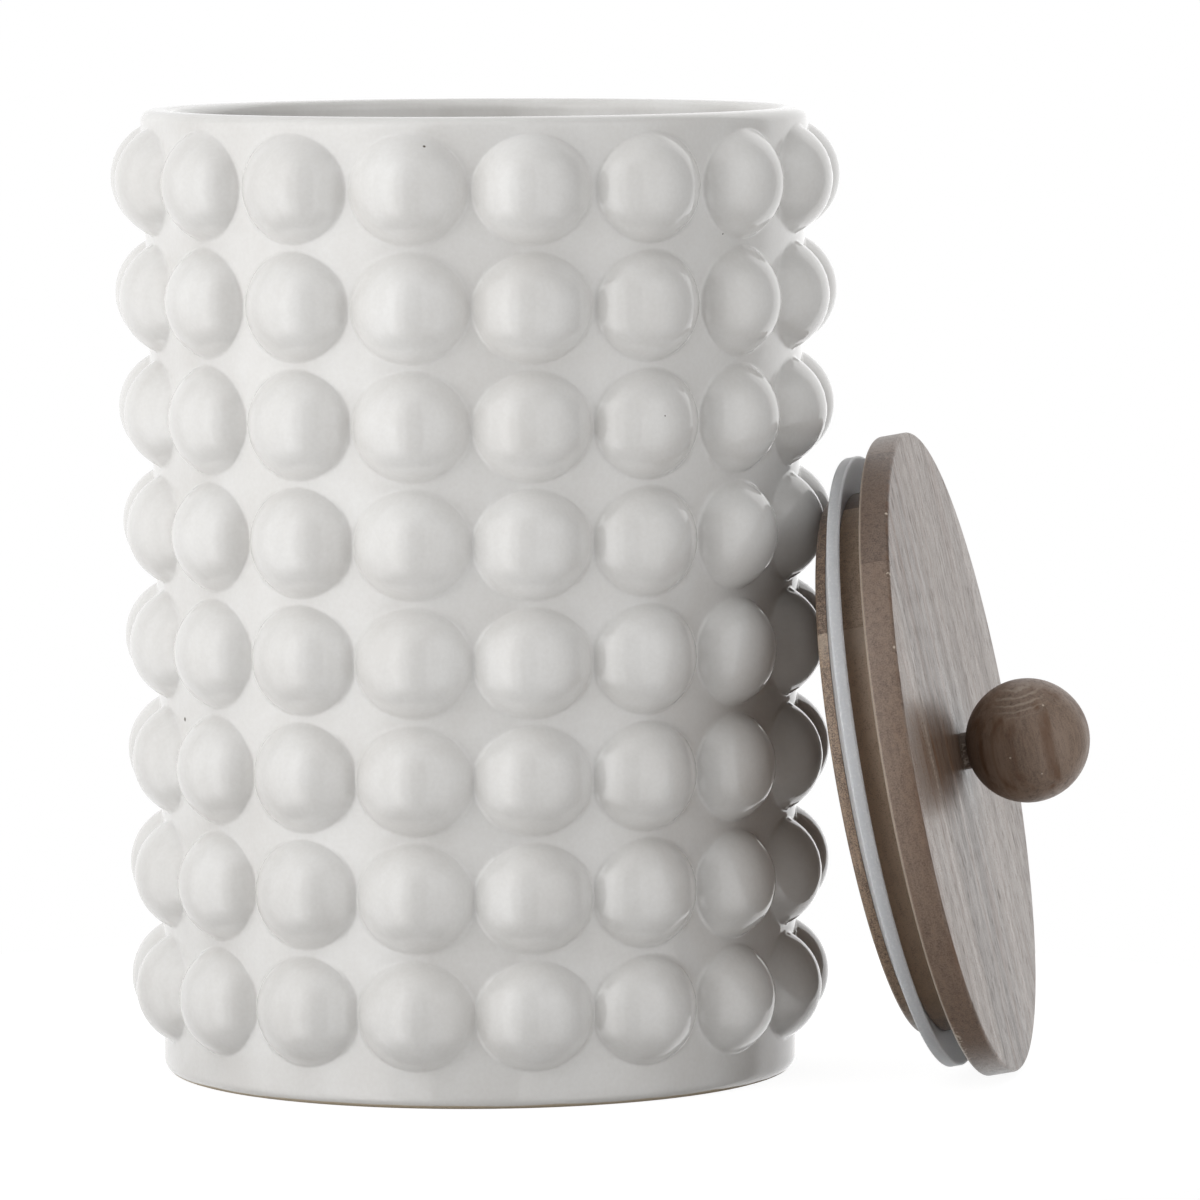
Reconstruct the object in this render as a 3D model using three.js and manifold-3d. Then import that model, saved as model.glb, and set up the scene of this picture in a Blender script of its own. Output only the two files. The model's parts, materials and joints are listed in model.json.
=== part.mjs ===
// Storage jar: a glazed stoneware body covered in bobbles, and a wooden lid with a silicone seal
// that has been taken off and leans against the jar.
// Millimetres, +Z up. The origin is the centre of the jar's base, and the viewer stands at -Y.
import * as THREE from "three";
import { mergeVertices } from "three/addons/utils/BufferGeometryUtils.js";
import Module from "manifold-3d";

// Jar wall
const rimRadius = 75;
const footRadius = 71.4;
const waist = 1;
const rimWall = 7.5;
const footWall = 6.5;
const floorThickness = 9;
const floorCorner = 10;
const footBand = 7.75;
const footRound = 3;
const rimBand = 2.6;
const mouthRound = 2.6;

// Bobbles: straight rows and columns, each a cap of a sphere
const bumpRows = 8;
const rowPitch = 25.8;
const bumpGap = 1.6;
const bumpRise = 8.1;

// Lid board and plug, each glued up from parallel staves
const boardInset = 2.4;
const boardThickness = 6.8;
const boardEdge = 0.8;
const plugClearance = 6.5;
const plugThickness = 12.6;
const plugEdge = 0.8;
const outerStave = 33.6;
const glueLine = 0.2;

// Seal: a ring held in a groove of the plug, flaring up to two round lips
const grooveBelowBoard = 7.3;
const grooveWidth = 2.9;
const grooveDepth = 4;
const sealFit = 0.2;
const lipSqueeze = 1.7;
const lipRadius = 1;
const lipValley = 0.24;
const lipLift = 0.65;

// Knob: a ball on a dowel that runs through the board into the plug
const ballRadius = 14;
const ballGap = 0.6;
const dowelRadius = 4.15;
const dowelInBall = 12;
const dowelInPlug = 8;
const dowelFit = 0.2;

// How the lid leans: its axis tips up from level, turns towards the viewer, and misses the jar's axis
const lidLean = THREE.MathUtils.degToRad(10.35);
const lidTurn = THREE.MathUtils.degToRad(10.5);
const lidAside = -15.7;
const grainTurn = THREE.MathUtils.degToRad(15.9);
const leanGap = 0.3;
const floorGap = 0.15;

// Facets
const lidSegments = 48;
const arcSteps = 3;
const spokes = 12;

const wasm = await Module();
wasm.setup();

// Closed geometry to a solid: shared vertices merged, slivers at the poles dropped.
function solidOf(geometry) {
  const bare = new THREE.BufferGeometry();
  bare.setAttribute("position", geometry.getAttribute("position"));
  bare.setIndex(geometry.getIndex());
  const merged = mergeVertices(bare, 1e-4);
  const corners = merged.getIndex().array;
  const kept = [];
  for (let i = 0; i < corners.length; i += 3) {
    const [a, b, c] = corners.slice(i, i + 3);
    if (a !== b && b !== c && c !== a) kept.push(a, b, c);
  }
  return new wasm.Manifold(
    new wasm.Mesh({
      numProp: 3,
      vertProperties: new Float32Array(merged.getAttribute("position").array),
      triVerts: new Uint32Array(kept),
    }),
  );
}

function geometryOf(solid) {
  const { vertProperties, triVerts } = solid.getMesh();
  const geometry = new THREE.BufferGeometry();
  geometry.setAttribute("position", new THREE.BufferAttribute(vertProperties, 3));
  geometry.setIndex(new THREE.BufferAttribute(triVerts, 1));
  return geometry;
}

// A profile of (radius, height) points turned about the Z axis.
function turned(profile, segments) {
  return new THREE.LatheGeometry(profile, segments).rotateX(Math.PI / 2);
}

// A cylinder along Z between two heights.
function bar(radius, low, high, segments) {
  const cylinder = new THREE.CylinderGeometry(radius, radius, high - low, segments);
  return cylinder.rotateX(Math.PI / 2).translate(0, 0, (low + high) / 2);
}

// Points of an arc in the (radius, height) plane, both ends included.
function arc(centreRadius, centreHeight, radius, from, to, steps = arcSteps) {
  return Array.from({ length: steps + 1 }, (_, i) => {
    const angle = from + ((to - from) * i) / steps;
    return new THREE.Vector2(
      centreRadius + radius * Math.cos(angle),
      centreHeight + radius * Math.sin(angle),
    );
  });
}

const quarter = Math.PI / 2;
const point = (radius, height) => new THREE.Vector2(radius, height);

// Jar heights, wall taper and the grid of bobbles, which sit as close round the jar as they do up it
const jarHeight = footBand + bumpRows * rowPitch + rimBand;
const mouthRadius = rimRadius - rimWall;

// The wall tapers straight from foot to rim, drawn in by the waist at half height.
function wallRadius(z) {
  const share = z / jarHeight;
  return footRadius + (rimRadius - footRadius) * share - 4 * waist * share * (1 - share);
}

const rowHeight = (row) => footBand + (row + 0.5) * rowPitch;
const bumpColumns = Math.floor((2 * Math.PI * wallRadius(rowHeight(0))) / rowPitch);
const halfCell = Math.PI / bumpColumns;
const bumpBase = (rowPitch - bumpGap) / 2;
const bumpRadius = (bumpBase ** 2 + bumpRise ** 2) / (2 * bumpRise);
const columnAngle = (column) => (2 * column + 1) * halfCell;

// A point of the jar by radius, angle from the viewer's side and height.
function jarPoint(radius, angle, z) {
  return new THREE.Vector3(radius * Math.sin(angle), -radius * Math.cos(angle), z);
}

function bumpCentre(row, column) {
  const z = rowHeight(row);
  return jarPoint(wallRadius(z) + bumpRise - bumpRadius, columnAngle(column), z);
}

// Directions round a bobble's tip; the first meets a corner of its cell.
const spokeAngle = (spoke) => Math.PI / 4 + (2 * Math.PI * spoke) / spokes;

// Where a spoke leaves its cell, as shares of the half width and half height.
function cellEdge(spoke) {
  const across = Math.cos(spokeAngle(spoke));
  const up = Math.sin(spokeAngle(spoke));
  const reach = Math.max(Math.abs(across), Math.abs(up));
  return [across / reach, up / reach];
}

// One cell of the wall as rings of points: tip, two rings on the sphere, its foot on the wall, cell edge.
function bumpRings(row, column) {
  const centre = bumpCentre(row, column);
  const angle = columnAngle(column);
  const outward = jarPoint(1, angle, 0);
  const along = new THREE.Vector3(Math.cos(angle), Math.sin(angle), 0);
  const onSphere = (tilt, spoke) => {
    const side = Math.sin(tilt) * bumpRadius;
    return centre
      .clone()
      .addScaledVector(outward, Math.cos(tilt) * bumpRadius)
      .addScaledVector(along, Math.cos(spokeAngle(spoke)) * side)
      .add(new THREE.Vector3(0, 0, Math.sin(spokeAngle(spoke)) * side));
  };
  // The tilt at which a spoke comes down to the wall, by halving.
  const footTilt = (spoke) => {
    let [above, below] = [0, quarter];
    while (below - above > 1e-7) {
      const tilt = (above + below) / 2;
      const { x, y, z } = onSphere(tilt, spoke);
      if (Math.hypot(x, y) > wallRadius(z)) above = tilt;
      else below = tilt;
    }
    return above;
  };
  const every = (step, place) =>
    Array.from({ length: spokes / step }, (_, i) => place(i * step));
  return [
    [onSphere(0, 0)],
    every(2, (spoke) => onSphere(footTilt(spoke) / 3, spoke)),
    every(1, (spoke) => onSphere((footTilt(spoke) * 2) / 3, spoke)),
    every(1, (spoke) => onSphere(footTilt(spoke), spoke)),
    every(1, (spoke) => {
      const [across, up] = cellEdge(spoke);
      const z = rowHeight(row) + (up * rowPitch) / 2;
      return jarPoint(wallRadius(z), angle + across * halfCell, z);
    }),
  ];
}

// Triangles between two rings of points; the outer has as many points as the inner, or a multiple.
function joinRings(triangles, inner, outer) {
  const ratio = outer.length / inner.length;
  inner.forEach((start, i) => {
    const next = inner[(i + 1) % inner.length];
    const rim = Array.from({ length: ratio + 1 }, (_, k) => outer[(i * ratio + k) % outer.length]);
    const turn = inner.length === 1 ? ratio : Math.ceil(ratio / 2);
    for (let k = 0; k < ratio; k++) {
      triangles.push(k < turn ? start : next, rim[k], rim[k + 1]);
    }
    if (inner.length > 1) triangles.push(start, rim[turn], next);
  });
}

// A level ring of points that meets the corners and spokes of the cells.
function levelRing(radius, z) {
  const shares = Array.from({ length: spokes }, (_, spoke) => cellEdge(spoke))
    .filter(([across, up]) => up > 1 - 1e-9 && across < 1 - 1e-9)
    .map(([across]) => across)
    .sort((a, b) => a - b);
  return Array.from({ length: bumpColumns }, (_, column) =>
    shares.map((across) => jarPoint(radius, columnAngle(column) + across * halfCell, z)),
  ).flat();
}

// The jar's outside as one closed form: foot, cells of bobbles, rounded rim, closed at the top.
function jarForm() {
  const triangles = [];
  const footCurve = arc(footRadius - footRound, footRound, footRound, -quarter, 0);
  const foot = [...footCurve, point(wallRadius(footBand), footBand)];
  const rimLow = jarHeight - rimBand;
  const rim = arc(wallRadius(rimLow) - rimBand, rimLow, rimBand, 0, quarter);
  const rings = (profile) => profile.map(({ x, y }) => levelRing(x, y));
  const skin = (levels) =>
    levels.slice(1).forEach((upper, i) => {
      const lower = levels[i];
      lower.forEach((start, k) => {
        const next = (k + 1) % lower.length;
        triangles.push(start, lower[next], upper[next], start, upper[next], upper[k]);
      });
    });
  const footRings = rings(foot);
  const rimRings = rings(rim);
  skin(footRings);
  skin(rimRings);
  joinRings(triangles, [new THREE.Vector3(0, 0, 0)], footRings[0].toReversed());
  joinRings(triangles, [new THREE.Vector3(0, 0, jarHeight)], rimRings.at(-1));
  for (let row = 0; row < bumpRows; row++) {
    for (let column = 0; column < bumpColumns; column++) {
      const cell = bumpRings(row, column);
      cell.slice(1).forEach((outer, i) => joinRings(triangles, cell[i], outer));
    }
  }
  return new THREE.BufferGeometry().setFromPoints(triangles);
}

// The smooth inside, from the rounded floor corner up the tapered wall to the rounded mouth.
function jarCavity() {
  const floorRadius = footRadius - footWall - floorCorner;
  const lipCentre = mouthRadius + mouthRound;
  const above = jarHeight + rimBand;
  const profile = [
    point(0, floorThickness),
    ...arc(floorRadius, floorThickness + floorCorner, floorCorner, -quarter, 0),
    ...arc(lipCentre, jarHeight - mouthRound, mouthRound, Math.PI, quarter),
    point(lipCentre, above),
    point(0, above),
  ];
  return turned(profile, bumpColumns * 3);
}

// Lid sizes, all from the jar's mouth and rim. Its own frame has Z = 0 on the board's face, Z up out of it.
const boardRadius = rimRadius - boardInset;
const plugRadius = mouthRadius - plugClearance;
const sealRadius = mouthRadius + lipSqueeze;
const plugTop = -boardThickness - glueLine;
const plugEnd = -boardThickness - plugThickness;
const grooveTop = -boardThickness - grooveBelowBoard;
const grooveLow = grooveTop - grooveWidth;
const grooveRadius = plugRadius - grooveDepth;
const ballHeight = ballGap + ballRadius;
const dowelTop = ballGap + dowelInBall;
const dowelEnd = plugTop - dowelInPlug;
const lipHeight = grooveTop + lipLift;
const lipOffset = Math.sqrt(lipRadius ** 2 - (lipRadius - lipValley) ** 2);

function boardForm() {
  const profile = [
    point(0, -boardThickness),
    ...arc(boardRadius - boardEdge, boardEdge - boardThickness, boardEdge, -quarter, 0, 2),
    ...arc(boardRadius - boardEdge, -boardEdge, boardEdge, 0, quarter, 2),
    point(0, 0),
  ];
  return turned(profile, lidSegments);
}

function plugForm() {
  const profile = [
    point(0, plugEnd),
    ...arc(plugRadius - plugEdge, plugEnd + plugEdge, plugEdge, -quarter, 0, 2),
    point(plugRadius, grooveLow),
    point(grooveRadius, grooveLow),
    point(grooveRadius, grooveTop),
    point(plugRadius, grooveTop),
    point(plugRadius, plugTop),
    point(0, plugTop),
  ];
  return turned(profile, lidSegments);
}

// The seal's root fills the groove; its flank climbs to the upper lip and folds under the lower one.
function sealForm() {
  const rootRadius = grooveRadius + sealFit;
  const rootTop = grooveTop - sealFit;
  const rootLow = grooveLow + sealFit;
  const lipCentre = sealRadius - lipRadius;
  const valley = Math.asin(lipOffset / lipRadius);
  const lowerLip = lipHeight - lipOffset;
  const upperLip = lipHeight + lipOffset;
  const profile = [
    point(rootRadius, rootLow),
    point(plugRadius, rootLow),
    ...arc(lipCentre, lowerLip, lipRadius, -quarter, valley, arcSteps),
    ...arc(lipCentre, upperLip, lipRadius, -valley, quarter, arcSteps).slice(1),
    point(plugRadius, rootTop),
    point(rootRadius, rootTop),
    point(rootRadius, rootLow),
  ];
  return turned(profile, lidSegments);
}

// A disc cut along three glue lines into four staves, each drilled where the dowel passes.
function staves(form, radius) {
  const bore = solidOf(bar(dowelRadius + dowelFit, dowelEnd - dowelFit, dowelTop, lidSegments / 2));
  const disc = solidOf(form).subtract(bore);
  const joint = boardRadius - outerStave;
  const height = 2 * (boardThickness + plugThickness);
  const beyond = radius + glueLine;
  const edges = [-beyond, -joint, 0, joint, beyond];
  return edges.slice(1).map((high, i) => {
    const width = high - edges[i];
    const strip = new THREE.BoxGeometry(2 * beyond, width - glueLine, height);
    return geometryOf(disc.intersect(solidOf(strip.translate(0, high - width / 2, 0))));
  });
}

function ballForm() {
  const ball = new THREE.SphereGeometry(ballRadius, lidSegments / 2, lidSegments / 4);
  const whole = solidOf(ball.rotateX(quarter).translate(0, 0, ballHeight));
  const bore = bar(dowelRadius + dowelFit, -ballGap, dowelTop + dowelFit, lidSegments / 2);
  return geometryOf(whole.subtract(solidOf(bore)));
}

// The lid's place: its lower back edge stands on the floor and it tips in until it meets a bobble.
const lidLevel =
  (boardThickness - boardEdge) * Math.sin(lidLean) +
  (boardRadius - boardEdge) * Math.cos(lidLean) +
  boardEdge +
  floorGap;
const lidTilt = new THREE.Euler(0, quarter - lidLean, -lidTurn, "ZYX");

// Gap between the lid, taken as three discs, and the nearest bobble, with the lid's centre at x.
function gapToJar(x) {
  const turnBack = new THREE.Quaternion().setFromEuler(lidTilt).invert();
  const lidCentre = new THREE.Vector3(x, lidAside, lidLevel);
  const discs = [
    { radius: boardRadius, low: -boardThickness, high: 0 },
    { radius: plugRadius, low: plugEnd, high: plugTop },
    { radius: sealRadius, low: lipHeight - lipOffset, high: lipHeight + lipOffset },
  ];
  let least = Infinity;
  for (let row = 0; row < bumpRows; row++) {
    for (let column = 0; column < bumpColumns; column++) {
      const seen = bumpCentre(row, column).sub(lidCentre).applyQuaternion(turnBack);
      for (const { radius, low, high } of discs) {
        const beside = Math.max(Math.hypot(seen.x, seen.y) - radius, 0);
        const beyond = Math.max(low - seen.z, seen.z - high, 0);
        least = Math.min(least, Math.hypot(beside, beyond) - bumpRadius);
      }
    }
  }
  return least;
}

function leanPlace() {
  let touching = 0;
  let clear = 2 * (rimRadius + boardRadius);
  while (clear - touching > 1e-4) {
    const x = (touching + clear) / 2;
    if (gapToJar(x) > leanGap) clear = x;
    else touching = x;
  }
  return new THREE.Vector3(clear, lidAside, lidLevel);
}

const finishes = {
  glaze: { color: 0xe3e1dd, roughness: 0.16, metalness: 0 },
  walnut: { color: 0x6f5d4f, roughness: 0.42, metalness: 0 },
  darkWalnut: { color: 0x645246, roughness: 0.4, metalness: 0 },
  silicone: { color: 0xa6a9ab, roughness: 0.5, metalness: 0 },
};

function piece(name, geometry, finish) {
  const mesh = new THREE.Mesh(geometry, new THREE.MeshStandardMaterial(finishes[finish]));
  mesh.name = name;
  return mesh;
}

const jarBody = geometryOf(solidOf(jarForm()).subtract(solidOf(jarCavity())));

const lid = new THREE.Group();
lid.position.copy(leanPlace());
lid.rotation.copy(lidTilt);
const lidAlongGrain = new THREE.Group();
lidAlongGrain.rotation.z = grainTurn;
lid.add(lidAlongGrain);

staves(boardForm(), boardRadius).forEach((stave, i) => {
  lidAlongGrain.add(piece(`lid_board_stave_${i + 1}`, stave, "walnut"));
});
staves(plugForm(), plugRadius).forEach((stave, i) => {
  lidAlongGrain.add(piece(`lid_plug_stave_${i + 1}`, stave, "walnut"));
});
lidAlongGrain.add(
  piece("lid_seal", sealForm(), "silicone"),
  piece("knob_ball", ballForm(), "darkWalnut"),
  piece("knob_dowel", bar(dowelRadius, dowelEnd, dowelTop, lidSegments / 2), "darkWalnut"),
);

const storageJar = new THREE.Group();
storageJar.add(piece("jar_body", jarBody, "glaze"), lid);

export default storageJar;
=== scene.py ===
import json
import math

import bpy
import numpy as np
from mathutils import Matrix, Vector


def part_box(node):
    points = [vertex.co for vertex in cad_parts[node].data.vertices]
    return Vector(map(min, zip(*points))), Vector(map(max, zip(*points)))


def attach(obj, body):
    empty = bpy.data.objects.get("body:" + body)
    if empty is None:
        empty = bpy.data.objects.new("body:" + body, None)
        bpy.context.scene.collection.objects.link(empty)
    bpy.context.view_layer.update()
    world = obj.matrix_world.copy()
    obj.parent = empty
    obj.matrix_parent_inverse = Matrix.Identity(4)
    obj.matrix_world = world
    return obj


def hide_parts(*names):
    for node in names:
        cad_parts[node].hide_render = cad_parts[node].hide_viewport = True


# Looks of a bobbled storage jar and its leaning wooden lid. Sizes are in millimetres until a mesh is made.
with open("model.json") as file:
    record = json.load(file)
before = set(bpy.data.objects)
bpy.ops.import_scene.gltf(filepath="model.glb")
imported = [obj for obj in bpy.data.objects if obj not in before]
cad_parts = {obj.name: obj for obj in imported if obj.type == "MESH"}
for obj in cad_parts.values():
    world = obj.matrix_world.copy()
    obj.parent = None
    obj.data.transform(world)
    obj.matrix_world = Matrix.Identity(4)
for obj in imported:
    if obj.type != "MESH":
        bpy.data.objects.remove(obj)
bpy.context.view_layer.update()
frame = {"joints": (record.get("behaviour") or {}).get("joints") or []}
mm = 0.001


# sRGB hex to linear light: each channel over 12.92 when dark, else (c + 0.055) / 1.055 to the power 2.4.
def linear(hexColour):
    srgb = np.array([int(hexColour[i:i + 2], 16) for i in (1, 3, 5)]) / 255
    light = np.where(srgb <= 0.04045, srgb / 12.92, ((srgb + 0.055) / 1.055) ** 2.4)
    return (*light.tolist(), 1.0)


# One node: sockets are its inputs by name or number, each a value or an output to link from. A mix node's
# are 0 for the share, then 6 and 7 for two colours, which output 2 gives mixed, or 2 and 3 for two values.
def addNode(tree, kind, sockets=None, **settings):
    node = tree.nodes.new(kind)
    for name, value in settings.items():
        setattr(node, name, value)
    for key, value in (sockets or {}).items():
        if isinstance(value, bpy.types.NodeSocket):
            tree.links.new(value, node.inputs[key])
        else:
            node.inputs[key].default_value = value
    return node


def newMaterial(name):
    material = bpy.data.materials.new(name)
    material.use_nodes = True
    material.node_tree.nodes.clear()
    return material, material.node_tree


# Triangles over rings of points that are numbered ring by ring. Each ring closes on itself and joins
# the next; a hoop's last ring joins its first, and otherwise an end may close on a pole after the rings.
def skinTriangles(rings, around, startPole=False, endPole=False, hoop=False):
    i, j = np.meshgrid(np.arange(rings if hoop else rings - 1), np.arange(around), indexing="ij")
    a, b = i * around + j, i * around + (j + 1) % around
    c, d = (i + 1) % rings * around + (j + 1) % around, (i + 1) % rings * around + j
    parts = [np.stack([a, b, c], -1).reshape(-1, 3), np.stack([a, c, d], -1).reshape(-1, 3)]
    step, top = np.arange(around), (rings - 1) * around
    after = (step + 1) % around
    if startPole:
        parts.append(np.stack([np.full(around, rings * around), after, step], -1))
    if endPole:
        pole = rings * around + int(startPole)
        parts.append(np.stack([np.full(around, pole), top + step, top + after], -1))
    return np.concatenate(parts)


# Points of an arc in the (radius, height) plane: centre plus radius times (cos, sin), ends in degrees.
def arc(centreRadius, centreHeight, radius, start, end, steps):
    angle = np.radians(np.linspace(start, end, steps + 1))
    return np.stack([centreRadius + radius * np.cos(angle), centreHeight + radius * np.sin(angle)], -1)


# A piece from points in metres: doubles welded, slivers dropped, smooth except over edges of more than
# sharp degrees.
def makePiece(name, points, triangles, material, body, slot, nodes, sharp=32):
    weld = 2e-7
    keys = np.round(points / weld).astype(np.int64)
    _, first, welded = np.unique(keys, axis=0, return_index=True, return_inverse=True)
    corners = welded.reshape(-1)[triangles]
    whole = np.all(corners != np.roll(corners, 1, axis=1), axis=1)
    mesh = bpy.data.meshes.new(name)
    mesh.from_pydata(points[first].tolist(), [], corners[whole].tolist())
    mesh.shade_smooth()
    mesh.set_sharp_from_angle(angle=math.radians(sharp))
    mesh.materials.append(material)
    piece = bpy.data.objects.new(name, mesh)
    bpy.context.scene.collection.objects.link(piece)
    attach(piece, body)
    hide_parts(*nodes)
    return piece


# Glazed stoneware, slip cast and dipped: a wet gloss over an off-white that breaks slightly unevenly,
# with a few pinholes, and a bare tan line where the glaze was wiped off the foot.
glaze = {
    "colour": "#E5E4E2", "thin": "#DBD9D6", "clay": "#BDAE97", "pinhole": "#5A5046",
    "mottle": 14.0, "grain": 0.9, "grainShare": 0.35, "thinAt": 0.45, "thickAt": 0.95,
    "bareHeight": 0.9, "bareWander": 0.8, "bareFade": 0.15,
    "gloss": 0.03, "bareRoughness": 0.8, "index": 1.6, "wave": 7.0, "waveDepth": 0.1, "waveStrength": 0.2,
    # Pinholes: row, column, degrees round and millimetres up from the bobble's tip, and radius.
    "pinholes": ((7, -1, 3.3, 9.4, 0.42), (2, -4, 9.8, 10.0, 0.6), (5, 1, -0.5, 2.0, 0.22),
                 (7, 2, -5.2, -11.0, 0.25), (4, 6, -4.0, 3.0, 0.3), (1, 9, 2.0, -5.5, 0.3)),
}


def glazeFinish(pits, pitSizes):
    material, tree = newMaterial("stoneware glazed")
    place = addNode(tree, "ShaderNodeTexCoord").outputs["Object"]
    mottle = addNode(tree, "ShaderNodeTexNoise",
                     {"Vector": place, "Scale": 1 / (glaze["mottle"] * mm), "Detail": 3})
    grain = addNode(tree, "ShaderNodeTexNoise",
                    {"Vector": place, "Scale": 1 / (glaze["grain"] * mm), "Detail": 1})
    blend = addNode(tree, "ShaderNodeMath",
                    {0: grain.outputs["Fac"], 1: glaze["grainShare"], 2: mottle.outputs["Fac"]},
                    operation="MULTIPLY_ADD")
    tone = addNode(tree, "ShaderNodeMapRange",
                   {"Value": blend.outputs[0], "From Min": glaze["thinAt"], "From Max": glaze["thickAt"]})
    body = addNode(tree, "ShaderNodeMix",
                   {0: tone.outputs[0], 6: linear(glaze["thin"]), 7: linear(glaze["colour"])}, data_type="RGBA")
    tinted = body.outputs[2]
    for pit, size in zip(pits.tolist(), pitSizes.tolist()):
        away = addNode(tree, "ShaderNodeVectorMath", {0: place, 1: pit}, operation="DISTANCE")
        dot = addNode(tree, "ShaderNodeMapRange",
                      {"Value": away.outputs["Value"], "From Min": size * mm, "From Max": size * mm / 2})
        pitted = addNode(tree, "ShaderNodeMix", {0: dot.outputs[0], 6: tinted, 7: linear(glaze["pinhole"])},
                         data_type="RGBA")
        tinted = pitted.outputs[2]
    # Bare clay below a line that wanders with the mottle.
    axes = addNode(tree, "ShaderNodeSeparateXYZ", {0: place})
    wander = addNode(tree, "ShaderNodeMath",
                     {0: mottle.outputs["Fac"], 1: -glaze["bareWander"] * mm, 2: axes.outputs["Z"]},
                     operation="MULTIPLY_ADD")
    bareLine = (glaze["bareHeight"] - glaze["bareWander"] / 2) * mm
    fade = glaze["bareFade"] * mm
    bare = addNode(tree, "ShaderNodeMapRange",
                   {"Value": wander.outputs[0], "From Min": bareLine + fade, "From Max": bareLine - fade})
    colour = addNode(tree, "ShaderNodeMix", {0: bare.outputs[0], 6: tinted, 7: linear(glaze["clay"])},
                     data_type="RGBA")
    rough = addNode(tree, "ShaderNodeMapRange",
                    {"Value": bare.outputs[0], "To Min": glaze["gloss"], "To Max": glaze["bareRoughness"]})
    wave = addNode(tree, "ShaderNodeTexNoise",
                   {"Vector": place, "Scale": 1 / (glaze["wave"] * mm), "Detail": 1})
    relief = addNode(tree, "ShaderNodeBump",
                     {"Height": wave.outputs["Fac"], "Strength": glaze["waveStrength"],
                      "Distance": glaze["waveDepth"] * mm})
    shader = addNode(tree, "ShaderNodeBsdfPrincipled",
                     {"Base Color": colour.outputs[2], "Roughness": rough.outputs[0], "IOR": glaze["index"],
                      "Normal": relief.outputs[0]})
    addNode(tree, "ShaderNodeOutputMaterial", {"Surface": shader.outputs[0]})
    return material


# The jar: a tapered wall that carries straight rows and columns of bobbles, each a cap of a ball that is
# drawn wider round the jar.
jar = {
    "rimRadius": 75.0, "footRadius": 71.4, "waist": 1.0, "rimWall": 7.5, "footWall": 6.5,
    "floor": 9.0, "floorCorner": 10.0, "footBand": 7.75, "footRound": 3.0, "rimBand": 2.6, "mouthRound": 2.6,
    "rows": 8, "columns": 17, "rowPitch": 25.8, "bumpGap": 1.6, "bumpRise": 8.1, "bumpWide": 1.05,
    "softness": 0.42, "sink": 0.12, "unevenness": 0.08, "seed": 17,
    "spokes": 32, "roundSteps": 8, "bandSteps": 5, "underStart": 12.0, "underStop": 2.0, "floorStart": 8.0,
}
jarHeight = jar["footBand"] + jar["rows"] * jar["rowPitch"] + jar["rimBand"]
halfCell = math.pi / jar["columns"]
bumpBase = (jar["rowPitch"] - jar["bumpGap"]) / 2
bumpBall = (bumpBase ** 2 + jar["bumpRise"] ** 2) / (2 * jar["bumpRise"])
# Hand finishing leaves each bobble a little lower than the mould's, and no two alike.
dice = np.random.default_rng(jar["seed"])
lift = -jar["sink"] - np.abs(dice.normal(0, jar["unevenness"], (jar["rows"], jar["columns"])))


# The wall tapers straight from foot to rim, drawn in at half height by the waist: less 4 w t (1 - t).
def wallRadius(z):
    share = z / jarHeight
    taper = jar["footRadius"] + (jar["rimRadius"] - jar["footRadius"]) * share
    return taper - 4 * jar["waist"] * share * (1 - share)


# A point by radius, angle from the viewer's side and height: (r sin a, -r cos a, z), in metres.
def jarPoints(radius, angle, z):
    return np.stack(np.broadcast_arrays(radius * np.sin(angle), -radius * np.cos(angle), z), -1) * mm


# Height of the bobbles over the wall. A line straight out from the axis leaves a ball at the greater root r
# of (r cos(a) - c)^2 + (r sin(a) / w)^2 + up^2 = s^2, with c the ball centre's distance, s its radius,
# w its width round the jar, a and up the offsets. The nine nearest caps and the wall join softly:
# k ln(1 + sum of exp(cap / k)).
def bumpHeight(row, column, turn, up):
    total = np.ones_like(turn)
    soft = jar["softness"]
    z = jar["footBand"] + (row + 0.5) * jar["rowPitch"] + up
    for rowStep in (-1, 0, 1):
        near = row + rowStep
        centreZ = jar["footBand"] + (near + 0.5) * jar["rowPitch"]
        away = up - rowStep * jar["rowPitch"]
        for columnStep in (-1, 0, 1):
            here = (near >= 0) & (near < jar["rows"])
            raised = lift[np.clip(near, 0, jar["rows"] - 1), (column + columnStep) % jar["columns"]]
            middle = wallRadius(centreZ) + jar["bumpRise"] - bumpBall + raised
            aside = turn - columnStep * 2 * halfCell
            facing = middle * np.cos(aside)
            spread = np.cos(aside) ** 2 + (np.sin(aside) / jar["bumpWide"]) ** 2
            under = facing ** 2 - spread * (middle ** 2 + away ** 2 - bumpBall ** 2)
            cap = (facing + np.sqrt(np.maximum(under, 0))) / spread - wallRadius(z)
            total += np.where(here & (under > 0), np.exp(cap / soft), 0)
    return soft * np.log(total)


# Points of the outside by row and column, with the turn and the way up from the bobble's tip.
def bumpPoints(row, column, turn, up):
    z = jar["footBand"] + (row + 0.5) * jar["rowPitch"] + up
    radius = wallRadius(z) + bumpHeight(row, column, turn, up)
    return jarPoints(radius, (2 * column + 1) * halfCell + turn, z)


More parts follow.
